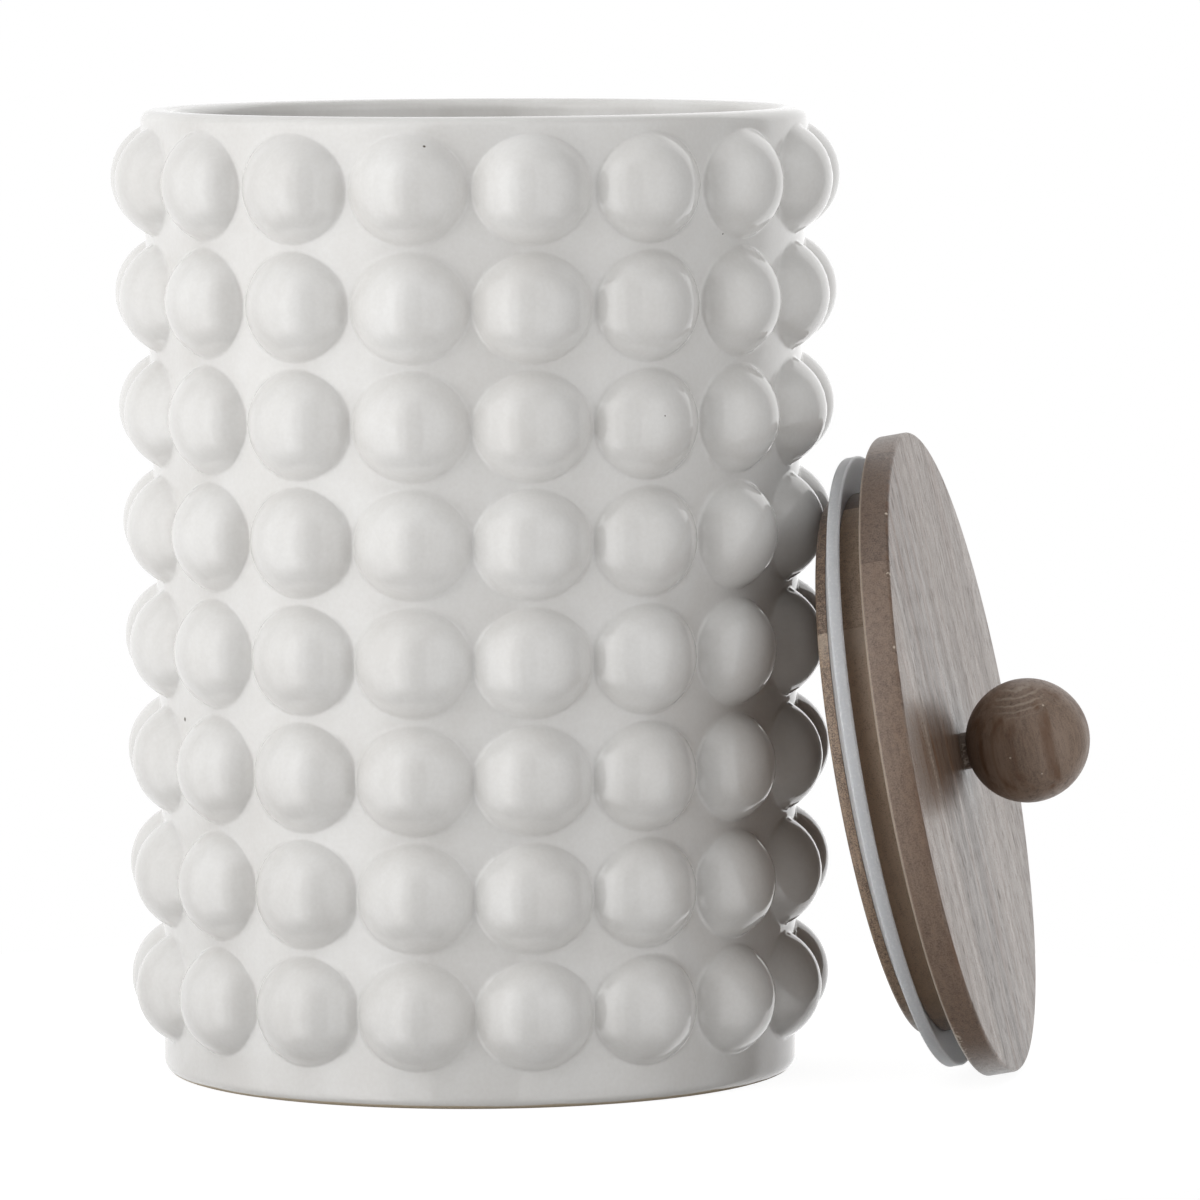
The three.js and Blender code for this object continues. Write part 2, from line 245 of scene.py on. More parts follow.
# Each cell is a polar grid round its bobble's tip: circles out to the bobble's foot, then blending to the
# cell's square edge, 1 over the greater of |cos| and |sin|, where it meets its neighbours. The circles, as
# shares of half a cell, are closest where the foot curves.
def jarSkin():
    spoke = np.pi / 4 + 2 * np.pi * np.arange(jar["spokes"]) / jar["spokes"]
    edge = 1 / np.maximum(np.abs(np.cos(spoke)), np.abs(np.sin(spoke)))
    inner = np.array([0.97, 0.957, 0.946, 0.936, 0.926, 0.914, 0.897, 0.868, 0.82,
                      0.75, 0.65, 0.53, 0.39, 0.23, 0.08])
    outer = np.array([1, 0.76, 0.53, 0.33, 0.16])
    foot = inner[0]
    radial = np.concatenate([foot + (edge[None] - foot) * outer[:, None],
                             np.tile(inner[:, None], (1, spoke.size))])
    across, up = radial * np.cos(spoke), radial * np.sin(spoke)
    row = np.arange(jar["rows"])[:, None, None, None]
    column = np.arange(jar["columns"])[None, :, None, None]
    turn = np.broadcast_to(across * halfCell, (jar["rows"], jar["columns"], *radial.shape))
    rise = np.broadcast_to(up * jar["rowPitch"] / 2, turn.shape)
    rings = bumpPoints(row, column, turn, rise)
    tips = rings[:, :, -1:].mean(axis=3)
    cells = np.concatenate([rings.reshape(jar["rows"] * jar["columns"], -1, 3),
                            tips.reshape(jar["rows"] * jar["columns"], 1, 3)], axis=1)
    pattern = skinTriangles(*radial.shape, endPole=True)
    cellTriangles = pattern[None] + (np.arange(len(cells)) * cells.shape[1])[:, None, None]

    # Level rings meet the cells at the same angles; foot and rim edges take the cells' own softened radius.
    shares = -1 / np.tan(np.pi / 4 + 2 * np.pi * np.arange(jar["spokes"] // 4) / jar["spokes"])
    angle = ((2 * np.arange(jar["columns"])[:, None] + 1) + shares[None]).ravel() * halfCell
    columnOf = np.repeat(np.arange(jar["columns"]), shares.size)
    turnOf = np.tile(shares * halfCell, jar["columns"])
    half = np.full_like(turnOf, jar["rowPitch"] / 2)
    footSwell = bumpHeight(np.zeros_like(columnOf), columnOf, turnOf, -half)
    rimSwell = bumpHeight(np.full_like(columnOf, jar["rows"] - 1), columnOf, turnOf, half)
    rimLow = jarHeight - jar["rimBand"]
    mouth = jar["rimRadius"] - jar["rimWall"]
    floorRadius = jar["footRadius"] - jar["footWall"] - jar["floorCorner"]
    steps, bands = jar["roundSteps"], jar["bandSteps"]
    footArc = arc(jar["footRadius"] - jar["footRound"], jar["footRound"], jar["footRound"], -90, 0, steps)
    footRise = np.linspace(jar["footRound"], jar["footBand"], bands + 1)[1:]
    under = np.linspace(jar["underStart"], footArc[0, 0] - jar["underStop"], bands)
    footLine = np.concatenate([np.stack([under, np.zeros(bands)], -1), footArc,
                               np.stack([wallRadius(footRise), footRise], -1)])
    cornerTop = jar["floor"] + jar["floorCorner"]
    insideRadius = np.linspace(mouth, floorRadius + jar["floorCorner"], steps + 1)[1:-1]
    insideHeight = np.linspace(jarHeight - jar["mouthRound"], cornerTop, steps + 1)[1:-1]
    floorOut = np.linspace(floorRadius, jar["floorStart"], bands + 1)[1:]
    rimLine = np.concatenate([
        arc(wallRadius(rimLow) - jar["rimBand"], rimLow, jar["rimBand"], 0, 90, steps),
        arc(mouth + jar["mouthRound"], jarHeight - jar["mouthRound"], jar["mouthRound"], 90, 180, steps),
        np.stack([insideRadius, insideHeight], -1),
        arc(floorRadius, cornerTop, jar["floorCorner"], 0, -90, steps),
        np.stack([floorOut, np.full(bands, jar["floor"])], -1),
    ])
    # The swell of the cells at their edge fades out down the foot and over the rim.
    footShare = np.clip((footLine[:, 1] - jar["footRound"]) / (jar["footBand"] - jar["footRound"]), 0, 1) ** 2
    rimShare = np.zeros(len(rimLine))
    rimShare[:steps + 1] = np.cos(np.linspace(0, np.pi / 2, steps + 1)) ** 2
    footRings = jarPoints(footLine[:, :1] + footShare[:, None] * footSwell, angle[None], footLine[:, 1:])
    rimRings = jarPoints(rimLine[:, :1] + rimShare[:, None] * rimSwell, angle[None], rimLine[:, 1:])
    parts = [
        (cells.reshape(-1, 3), cellTriangles.reshape(-1, 3)),
        (np.concatenate([footRings.reshape(-1, 3), [[0, 0, 0]]]),
         skinTriangles(*footRings.shape[:2], startPole=True)),
        (np.concatenate([rimRings.reshape(-1, 3), [[0, 0, jar["floor"] * mm]]]),
         skinTriangles(*rimRings.shape[:2], endPole=True)),
    ]
    starts = np.cumsum([0] + [len(points) for points, _ in parts[:-1]])
    return (np.concatenate([points for points, _ in parts]),
            np.concatenate([triangles + start for (_, triangles), start in zip(parts, starts)]))


pitRow, pitColumn, pitTurn, pitUp, pitSizes = np.array(glaze["pinholes"]).T
pits = bumpPoints(pitRow.astype(int), pitColumn.astype(int), np.radians(pitTurn), pitUp)
jarBody = makePiece("jarBody", *jarSkin(), glazeFinish(pits, pitSizes), "jar", "glaze", ["jar_body"], sharp=60)
print("jar:", len(jarBody.data.polygons), "triangles")


# The lid's own frame: Z along the joint's slide, out through the knob; X along the grain, found by
# turning the steepest line down the board by grainTurn; the origin at the middle of the board's face.
lid = {
    "boardRadius": 72.55, "boardThickness": 6.8, "boardEdge": 0.8,
    "plugRadius": 61.0, "plugEnd": -19.4, "plugEdge": 0.8, "grooveTop": -14.1, "grooveLow": -17.0,
    "grooveDepth": 4.0, "joint": 39.0, "pastRim": 80.0, "glueLine": 0.05, "grainTurn": 15.9,
    "rimPoints": 48, "linePoints": 64, "edgeSteps": 6,
}
# The knob's ball and dowel. The ball's place in the frame gives the lid's.
knob = {
    "ballRadius": 13.93, "ballHeight": 14.6, "ballTop": 88, "ballSteps": 48, "ballSpokes": 96,
    "dowelRadius": 4.15, "dowelTop": 12.6, "dowelEnd": -15.0, "dowelEdge": 0.5, "dowelFit": 0.1,
    "dowelSteps": 3, "dowelSpokes": 64,
}
lidOut = np.array(frame["joints"][0]["axis"])
lidOut /= np.linalg.norm(lidOut)
levelLine = np.cross([0, 0, 1], lidOut)
levelLine /= np.linalg.norm(levelLine)
grainTurn = math.radians(lid["grainTurn"])
grainLine = math.cos(grainTurn) * np.cross(levelLine, lidOut) + math.sin(grainTurn) * levelLine
lidAxes = np.stack([grainLine, np.cross(lidOut, grainLine), lidOut])
ballLow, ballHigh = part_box("knob_ball")
lidCentre = np.array((ballLow + ballHigh) / 2) - lidOut * knob["ballHeight"] * mm
lidTurn = Matrix(lidAxes.T.tolist()).to_euler()


def onLid(points):
    return points * mm @ lidAxes + lidCentre


# Walnut, glued up from staves, turned, sanded and satin lacquered: a grey brown with fine streaks and dark
# pores along the grain, a sandy speck where it was turned, and a sheen that pales at a low angle. Pores and
# specks are drawn about three times as wide as real ones, so that they show.
wood = {
    # The plug strip's paler colour below is painted light for the strip that the seal and board shade.
    "dark": "#54443A", "light": "#8E7969", "plugStripPaintedLight": "#C4A98F", "warm": "#68482F", "pore": "#3A2412",
    "pale": "#CDBFAE",
    "streakWidth": 1.0, "streakLength": 6.0, "figureWidth": 7.0, "figureLength": 110.0, "figureSwing": 0.2,
    "warmWidth": 4.0, "warmLength": 60.0, "warmShare": 0.8, "poreWidth": 0.7, "poreLength": 4.0, "poreDepth": 1.2,
    "speck": 0.3, "chip": 0.7, "band": 1.0, "toneSpan": 0.5, "faceDepth": 0.1, "edgeFigure": 0.12,
    # A pale band on the board's back arris is a painted highlight: its inset, rise and share.
    "highlightInset": (0.8, 0.4), "highlightRise": (0.75, 0.35), "highlightShare": 0.35,
    "dullSpan": 1.3, "dullGain": 0.38, "shineSpan": 0.45, "shineGain": 0.07,
    "index": 1.5, "grainDepth": 0.05, "grainStrength": 0.25,
}


# Noise drawn out along the grain: length along X and width across it, in millimetres.
def grainNoise(tree, grain, length, width, detail):
    space = addNode(tree, "ShaderNodeMapping",
                    {"Vector": grain, "Scale": (1 / (length * mm), 1 / (width * mm), 1 / (width * mm))})
    noise = addNode(tree, "ShaderNodeTexNoise",
                    {"Vector": space.outputs[0], "Scale": 1.0, "Detail": detail, "Roughness": 0.6})
    return noise.outputs["Fac"]


# The pattern lies in the lid's frame. heart shifts it, grainAxes turns the grain off the lid's own line and
# stretch draws it out. tint lightens or darkens a piece; two tints run from darker at the plug's end, below the
# groove, to paler on the strip above it, which is painted light on the strip that the seal and board shade.
# light is the colour of pale grain; on the plug's front staves it is a paler colour, painted light on that
# strip too. sand, lines and pores weigh the speck, the streaks and the pores, and sheen is the roughness of
# middling grain. Figure shows on the board's face and fades on turned edges, unless given. arris is the radius
# and height of an edge that gets a pale band of painted highlight. A mark is a pale place: an ellipsoid round
# a point, filled with chips, with bands or plainly.
def woodFinish(name, heart, tint, light=wood["light"], grainAxes=(0, 0, 0), sand=1.3, lines=0.9, figure=None,
               pores=0.45, stretch=1.0, sheen=0.3, arris=None, marks=()):
    material, tree = newMaterial(name)
    place = addNode(tree, "ShaderNodeTexCoord").outputs["Object"]
    local = addNode(tree, "ShaderNodeMapping",
                    {"Vector": place, "Location": lidCentre.tolist(), "Rotation": lidTurn}, vector_type="TEXTURE")
    turned = addNode(tree, "ShaderNodeMapping",
                     {"Vector": local.outputs[0], "Location": [h * mm for h in heart],
                      "Rotation": [math.radians(a) for a in grainAxes]}, vector_type="TEXTURE")
    grain = turned.outputs[0]
    axes = addNode(tree, "ShaderNodeSeparateXYZ", {0: local.outputs[0]})
    if figure is None:
        face = addNode(tree, "ShaderNodeMapRange",
                       {"Value": axes.outputs["Z"], "From Min": -lid["boardEdge"] * mm,
                        "From Max": -wood["faceDepth"] * mm, "To Min": wood["edgeFigure"], "To Max": 1.0})
        figure = face.outputs[0]
    streak = grainNoise(tree, grain, wood["streakLength"] * stretch, wood["streakWidth"], 3)
    broad = grainNoise(tree, grain, wood["figureLength"] * stretch, wood["figureWidth"], 3)
    warm = grainNoise(tree, grain, wood["warmLength"] * stretch, wood["warmWidth"], 2)
    poreField = grainNoise(tree, grain, wood["poreLength"], wood["poreWidth"], 1)
    speck = addNode(tree, "ShaderNodeTexNoise",
                    {"Vector": local.outputs[0], "Scale": 1 / (wood["speck"] * mm), "Detail": 1})
    lined = addNode(tree, "ShaderNodeMath", {0: streak, 1: lines}, operation="MULTIPLY")
    fine = addNode(tree, "ShaderNodeMath", {0: speck.outputs["Fac"], 1: sand, 2: lined.outputs[0]},
                   operation="MULTIPLY_ADD")
    swing = addNode(tree, "ShaderNodeMapRange",
                    {"Value": broad, "From Min": 0.3, "From Max": 0.7,
                     "To Min": -wood["figureSwing"], "To Max": wood["figureSwing"]})
    tone = addNode(tree, "ShaderNodeMath", {0: swing.outputs[0], 1: figure, 2: fine.outputs[0]},
                   operation="MULTIPLY_ADD")
    middle = (sand + lines) / 2
    # Two tints run up the plug past the groove: the paler strip above it is painted light where the seal and board
    # shade it.
    if isinstance(tint, tuple):
        stripPaintedLight = addNode(tree, "ShaderNodeMapRange",
                         {"Value": axes.outputs["Z"], "From Min": lid["grooveLow"] * mm,
                          "From Max": lid["grooveTop"] * mm, "To Min": tint[0], "To Max": tint[1]})
        tint = stripPaintedLight.outputs[0]
    tinted = addNode(tree, "ShaderNodeMath", {0: tone.outputs[0], 1: tint}, operation="ADD")
    paleness = addNode(tree, "ShaderNodeMapRange",
                       {"Value": tinted.outputs[0], "From Min": middle - wood["toneSpan"],
                        "From Max": middle + wood["toneSpan"]})
    body = addNode(tree, "ShaderNodeMix", {0: paleness.outputs[0], 6: linear(wood["dark"]), 7: linear(light)},
                   data_type="RGBA")
    warmField = addNode(tree, "ShaderNodeMapRange",
                        {"Value": warm, "From Min": 0.5, "From Max": 0.66, "To Max": wood["warmShare"]})
    warmShare = addNode(tree, "ShaderNodeMath", {0: warmField.outputs[0], 1: figure}, operation="MULTIPLY")
    warmed = addNode(tree, "ShaderNodeMix", {0: warmShare.outputs[0], 6: body.outputs[2], 7: linear(wood["warm"])},
                     data_type="RGBA")
    poreDepth = addNode(tree, "ShaderNodeMapRange",
                        {"Value": poreField, "From Min": 0.58, "From Max": 0.68, "To Max": pores})
    pore = addNode(tree, "ShaderNodeMath", {0: poreDepth.outputs[0], 1: figure}, operation="MULTIPLY")
    pored = addNode(tree, "ShaderNodeMix", {0: pore.outputs[0], 6: warmed.outputs[2], 7: linear(wood["pore"])},
                    data_type="RGBA")
    colour = pored.outputs[2]
    # Chips are the peaks of a fine noise, bands the crests of a wave across the grain.
    chipField = addNode(tree, "ShaderNodeTexNoise",
                        {"Vector": local.outputs[0], "Scale": 1 / (wood["chip"] * mm), "Detail": 1})
    chips = addNode(tree, "ShaderNodeMapRange",
                    {"Value": chipField.outputs["Fac"], "From Min": 0.52, "From Max": 0.62})
    waveStep = 0.314  # a wave texture of scale 1 repeats at this length
    bandField = addNode(tree, "ShaderNodeTexWave",
                        {"Vector": local.outputs[0], "Scale": waveStep / (wood["band"] * mm), "Distortion": 2.0,
                         "Detail": 1.0, "Detail Scale": 2.0}, wave_type="BANDS", bands_direction="X")
    bands = addNode(tree, "ShaderNodeMapRange",
                    {"Value": bandField.outputs["Fac"], "From Min": 0.6, "From Max": 1.0})
    fields = {"chips": chips.outputs[0], "bands": bands.outputs[0]}
    for mark in marks:
        around = addNode(tree, "ShaderNodeMapping",
                         {"Vector": local.outputs[0], "Location": [c * mm for c in mark["at"]],
                          "Scale": [c * mm for c in mark["reach"]]}, vector_type="TEXTURE")
        away = addNode(tree, "ShaderNodeVectorMath", {0: around.outputs[0]}, operation="LENGTH")
        filled = addNode(tree, "ShaderNodeMapRange",
                         {"Value": away.outputs["Value"], "From Min": 1.0, "From Max": 0.5,
                          "To Max": mark["share"]})
        if mark["fill"] in fields:
            filled = addNode(tree, "ShaderNodeMath", {0: filled.outputs[0], 1: fields[mark["fill"]]},
                             operation="MULTIPLY")
        marked = addNode(tree, "ShaderNodeMix", {0: filled.outputs[0], 6: colour, 7: linear(wood["pale"])},
                         data_type="RGBA")
        colour = marked.outputs[2]
    # A painted highlight: a pale band just inside the board's lower rim edge, along its arris.
    if arris:
        (insetStart, insetEnd), (riseStart, riseEnd) = wood["highlightInset"], wood["highlightRise"]
        sideways = addNode(tree, "ShaderNodeVectorMath", {0: local.outputs[0], 1: (1, 1, 0)}, operation="MULTIPLY")
        out = addNode(tree, "ShaderNodeVectorMath", {0: sideways.outputs[0]}, operation="LENGTH")
        rim = addNode(tree, "ShaderNodeMapRange",
                      {"Value": out.outputs["Value"], "From Min": (arris[0] - insetStart) * mm,
                       "From Max": (arris[0] - insetEnd) * mm})
        edge = addNode(tree, "ShaderNodeMapRange",
                       {"Value": axes.outputs["Z"], "From Min": (arris[1] + riseStart) * mm,
                        "From Max": (arris[1] + riseEnd) * mm, "To Max": wood["highlightShare"]})
        paintedEdgeHighlight = addNode(tree, "ShaderNodeMath", {0: rim.outputs[0], 1: edge.outputs[0]}, operation="MULTIPLY")
        highlightedEdge = addNode(tree, "ShaderNodeMix", {0: paintedEdgeHighlight.outputs[0], 6: colour, 7: linear(wood["pale"])},
                        data_type="RGBA")
        colour = highlightedEdge.outputs[2]
    # Pores lie deepest. They and the dense dark grain take the lacquer in and shine less than pale grain.
    height = addNode(tree, "ShaderNodeMath", {0: pore.outputs[0], 1: -wood["poreDepth"], 2: tone.outputs[0]},
                     operation="MULTIPLY_ADD")
    rough = addNode(tree, "ShaderNodeMapRange",
                    {"Value": height.outputs[0], "From Min": middle - wood["dullSpan"],
                     "From Max": middle + wood["shineSpan"], "To Min": sheen + wood["dullGain"],
                     "To Max": sheen - wood["shineGain"]})
    relief = addNode(tree, "ShaderNodeBump",
                     {"Height": height.outputs[0], "Strength": wood["grainStrength"],
                      "Distance": wood["grainDepth"] * mm})
    shader = addNode(tree, "ShaderNodeBsdfPrincipled",
                     {"Base Color": colour, "Roughness": rough.outputs[0], "IOR": wood["index"],
                      "Normal": relief.outputs[0]})
    addNode(tree, "ShaderNodeOutputMaterial", {"Surface": shader.outputs[0]})
    return material


# One stave: the disc's outline between two lines across the grain, carried up a section of
# (inset from the rim, height) levels. The line beside the middle steps round the dowel's bore:
# y = sqrt(bore^2 - x^2) where x is inside the bore, and points crowd there: side times |side| to the power 0.6.
def staveSkin(radius, low, high, section, bore):
    inset, height = section[:, 0], section[:, 1]
    reach = (radius - inset)[:, None]
    alongRim = np.linspace(0, 1, lid["rimPoints"])
    side = np.linspace(-1, 1, lid["linePoints"])
    spread = side * np.abs(side) ** 0.6

    def straight(line, way):
        y = np.clip(line, -reach, reach)
        x = way * spread[None] * np.sqrt(np.maximum(reach ** 2 - y ** 2, 0))
        dip = np.sqrt(np.maximum(bore ** 2 - x ** 2, 0))
        if abs(line) < bore:
            y = np.minimum(-dip, y) if way < 0 else np.maximum(dip, y)
        return np.stack(np.broadcast_arrays(x, y), -1)

    def curve(start, end):
        angle = start + (end - start) * alongRim[None]
        return np.stack([reach * np.cos(angle), reach * np.sin(angle)], -1)

    lowAngle = np.arcsin(np.clip(low / reach, -1, 1))
    highAngle = np.arcsin(np.clip(high / reach, -1, 1))
    outline = np.concatenate([curve(lowAngle, highAngle), straight(high, -1),
                              curve(np.pi - highAngle, np.pi - lowAngle), straight(low, 1)], axis=1)
    rings = np.concatenate([outline, np.broadcast_to(height[:, None, None], (*outline.shape[:2], 1))], -1)
    middle = rings[[0, -1]].mean(axis=1)
    points = np.concatenate([rings.reshape(-1, 3), middle])
    return onLid(points), skinTriangles(*rings.shape[:2], startPole=True, endPole=True)


# Levels of a turned edge with rounded arrises, given as (inset, height) from the lower face up.
def roundedLevels(low, high, edge):
    lower = arc(-edge, low + edge, edge, -90, 0, lid["edgeSteps"]) * [-1, 1]
    upper = arc(-edge, high - edge, edge, 0, 90, lid["edgeSteps"]) * [-1, 1]
    return lower, upper


boardLow = -lid["boardThickness"]
boardLower, boardUpper = roundedLevels(boardLow, 0, lid["boardEdge"])
boardSection = np.concatenate([boardLower, boardUpper])
plugHigh = boardLow - lid["glueLine"]
plugLower, _ = roundedLevels(lid["plugEnd"], plugHigh, lid["plugEdge"])
plugSection = np.concatenate([
    plugLower,
    [[0, lid["grooveLow"]], [lid["grooveDepth"], lid["grooveLow"]], [lid["grooveDepth"], lid["grooveTop"]],
     [0, lid["grooveTop"]], [0, plugHigh]],
])
staveLines = np.array([-lid["pastRim"], -lid["joint"], 0.0, lid["joint"], lid["pastRim"]])
boreRadius = knob["dowelRadius"] + knob["dowelFit"]
staves = {
    "boardStave1": {"heart": (10, -64, -110), "tint": 0.0, "marks": [
        {"at": (-15.9, -43.0, 0), "reach": (14, 1.7, 1.0), "share": 0.9, "fill": "chips"},
        {"at": (48, -54, -6.2), "reach": (11, 11, 1.1), "share": 0.8, "fill": "chips"},
        {"at": (-46.9, -55.5, -0.3), "reach": (0.5, 0.5, 0.5), "share": 0.9, "fill": "plain"},
        {"at": (-58.8, -42.2, -0.3), "reach": (1.2, 1.2, 0.8), "share": 0.9, "fill": "chips"}]},
    "boardStave2": {"heart": (-35, -28, -125), "tint": -0.25, "marks": [
        {"at": (-67.5, -26.6, -0.4), "reach": (0.45, 0.45, 0.45), "share": 0.9, "fill": "plain"}]},
    "boardStave3": {"heart": (22, 12, 110), "tint": 0.02},
    "boardStave4": {"heart": (-8, 71, -130), "tint": -0.02},
    # The two front plug staves are painted paler up the strip above the groove: painted light where the seal and
    # board shade it.
    "plugStave1": {"heart": (31, -45, 115), "tint": (-0.15, 0.5), "light": wood["plugStripPaintedLight"], "marks": [
        {"at": (-46, -39, -13), "reach": (26, 6, 16), "share": 0.25, "fill": "plain"}]},
    "plugStave2": {"heart": (-20, -9, -125), "tint": (-0.35, 0.3), "light": wood["plugStripPaintedLight"]},
    "plugStave3": {"heart": (5, 30, -110), "tint": 0.0},
    "plugStave4": {"heart": (-42, 66, 118), "tint": 0.03},
}
for name, look in staves.items():
    number = int(name[-1])
    isBoard = name.startswith("board")
    gap = lid["glueLine"] / 2
    skin = staveSkin(lid["boardRadius"] if isBoard else lid["plugRadius"], staveLines[number - 1] + gap,
                     staveLines[number] - gap, boardSection if isBoard else plugSection, boreRadius)
    # The board's back arris gets a painted highlight.
    paintedEdgeHighlight = (lid["boardRadius"], boardLow) if isBoard else None
    finish = woodFinish("walnut lacquered " + name, arris=paintedEdgeHighlight, **look)
    makePiece(name, *skin, finish, "lid", "lid_wood", [f"lid_{'board' if isBoard else 'plug'}_stave_{number}"])
print("lid: board and plug of", len(staves), "staves")


# A profile of (radius, height) points turned about the lid's axis; it closes on the axis at its ends,
# or is a closed loop for a hoop.
def lidTurned(profile, around, hoop=False):
    angle = 2 * np.pi * np.arange(around) / around
    radius, height = profile[:, :1], profile[:, 1:]
    rings = np.stack(np.broadcast_arrays(radius * np.cos(angle), radius * np.sin(angle), height), -1)
    points = rings.reshape(-1, 3)
    if not hoop:
        points = np.concatenate([points, [[0, 0, profile[0, 1]], [0, 0, profile[-1, 1]]]])
    return onLid(points), skinTriangles(*rings.shape[:2], startPole=not hoop, endPole=not hoop, hoop=hoop)


# Knob: a ball bored for the dowel that joins it to the lid.
ballDrop = math.sqrt(knob["ballRadius"] ** 2 - boreRadius ** 2)
ballStart = -math.degrees(math.acos(boreRadius / knob["ballRadius"]))
ballLine = np.concatenate([
    [[boreRadius, knob["dowelTop"] + knob["dowelFit"]], [boreRadius, knob["ballHeight"] - ballDrop]],
    arc(0, knob["ballHeight"], knob["ballRadius"], ballStart, knob["ballTop"], knob["ballSteps"]),
])
ballLook = {
    "heart": (0, 14, 95), "tint": 0.35, "grainAxes": (0, 0, -8), "sand": 0.9, "lines": 1.4,
    "figure": 1.0, "pores": 0.2, "stretch": 5.0, "sheen": 0.42, "marks": [
        {"at": (-12.2, -6.0, 15.6), "reach": (4.5, 7, 7), "share": 0.35, "fill": "bands"},
        {"at": (-10.2, -7.1, 20.9), "reach": (0.3, 0.3, 0.3), "share": 1.0, "fill": "plain"},
        {"at": (-1.6, -13.7, 12.1), "reach": (0.3, 0.3, 0.3), "share": 1.0, "fill": "plain"},
        {"at": (3.6, -13.0, 18.2), "reach": (0.25, 0.25, 0.25), "share": 0.9, "fill": "plain"}],
}
makePiece("knobBall", *lidTurned(ballLine, knob["ballSpokes"]), woodFinish("walnut turned ball", **ballLook),
          "lid", "knob_wood", ["knob_ball"])
dowelEdge = knob["dowelEdge"]
dowelLine = np.concatenate([
    arc(knob["dowelRadius"] - dowelEdge, knob["dowelEnd"] + dowelEdge, dowelEdge, -90, 0, knob["dowelSteps"]),
    arc(knob["dowelRadius"] - dowelEdge, knob["dowelTop"] - dowelEdge, dowelEdge, 0, 90, knob["dowelSteps"]),
])
dowelLook = {
    "heart": (0, 5, 60), "tint": -0.1, "grainAxes": (0, 90, 0), "sand": 0.4, "lines": 1.2,
    "figure": 0.5, "sheen": 0.45, "marks": [
        {"at": (0, -4, 0), "reach": (6, 3, 3), "share": 0.5, "fill": "chips"}],
}
makePiece("knobDowel", *lidTurned(dowelLine, knob["dowelSpokes"]), woodFinish("walnut dowel", **dowelLook),
          "lid", "knob_wood", ["knob_dowel"])
print("knob: ball and dowel")


# Silicone, moulded: a cool grey that light sinks into, so thin flanks glow, with a soft sheen and dust.
silicone = {
    "colour": "#B8BABD", "dust": "#C5C6C7", "dustSize": 0.6, "dustDepth": 0.03, "dustStrength": 0.1,
    "roughness": (0.3, 0.5), "index": 1.41, "lightDepth": 8.0,
}


def siliconeFinish():
    material, tree = newMaterial("silicone moulded")
    place = addNode(tree, "ShaderNodeTexCoord").outputs["Object"]
    dust = addNode(tree, "ShaderNodeTexNoise",
                   {"Vector": place, "Scale": 1 / (silicone["dustSize"] * mm), "Detail": 3})
    dusty = addNode(tree, "ShaderNodeMapRange", {"Value": dust.outputs["Fac"], "From Min": 0.5, "From Max": 0.75})
    colour = addNode(tree, "ShaderNodeMix",
                     {0: dusty.outputs[0], 6: linear(silicone["colour"]), 7: linear(silicone["dust"])},
                     data_type="RGBA")
    rough = addNode(tree, "ShaderNodeMapRange",
                    {"Value": dust.outputs["Fac"], "To Min": silicone["roughness"][0],
                     "To Max": silicone["roughness"][1]})
    relief = addNode(tree, "ShaderNodeBump",
                     {"Height": dust.outputs["Fac"], "Strength": silicone["dustStrength"],
                      "Distance": silicone["dustDepth"] * mm})
    shader = addNode(tree, "ShaderNodeBsdfPrincipled",
                     {"Base Color": colour.outputs[2], "Roughness": rough.outputs[0], "IOR": silicone["index"],
                      "Subsurface Weight": 1.0, "Subsurface Radius": (1.0, 1.0, 1.0),
                      "Subsurface Scale": silicone["lightDepth"] * mm, "Normal": relief.outputs[0]})
    addNode(tree, "ShaderNodeOutputMaterial", {"Surface": shader.outputs[0]})
    return material


# The seal: a root in the plug's groove and a flank that climbs to a band, hollow between two round lips.
# A lip's arc is given by its first and last degree and its steps.
sealRing = {
    "radius": 69.2, "lipRadius": 0.5, "lipHollow": 0.06, "lipLow": -14.8, "lipHigh": -11.9, "fit": 0.1,
    "lowArc": (-80, 20, 10), "highArc": (-20, 108, 12), "spokes": 160,
}
lipRadius = sealRing["lipRadius"]
lipCentre = sealRing["radius"] - lipRadius
bandMiddle = (sealRing["lipLow"] + sealRing["lipHigh"]) / 2
rootRadius = lid["plugRadius"] - lid["grooveDepth"] + sealRing["fit"]
rootTop, rootLow = lid["grooveTop"] - sealRing["fit"], lid["grooveLow"] + sealRing["fit"]
sealLine = np.concatenate([
    [[rootRadius, rootLow], [lid["plugRadius"], rootLow]],
    arc(lipCentre, sealRing["lipLow"] + lipRadius, lipRadius, *sealRing["lowArc"]),
    [[sealRing["radius"] - sealRing["lipHollow"], bandMiddle]],
    arc(lipCentre, sealRing["lipHigh"] - lipRadius, lipRadius, *sealRing["highArc"]),
    [[lid["plugRadius"], rootTop], [rootRadius, rootTop]],
])
seal = makePiece("seal", *lidTurned(sealLine, sealRing["spokes"], hoop=True), siliconeFinish(),
                 "lid", "seal", ["lid_seal"])
print("seal:", len(seal.data.polygons), "triangles")


# 1 where the eye looks, straight on or through something clear, else 0; with it come all kinds of path.
def seenByEye(tree):
    path = addNode(tree, "ShaderNodeLightPath").outputs
    seen = addNode(tree, "ShaderNodeMath", {0: path["Is Camera Ray"], 1: path["Is Transmission Ray"]},
                   operation="MAXIMUM")
    return seen.outputs[0], path


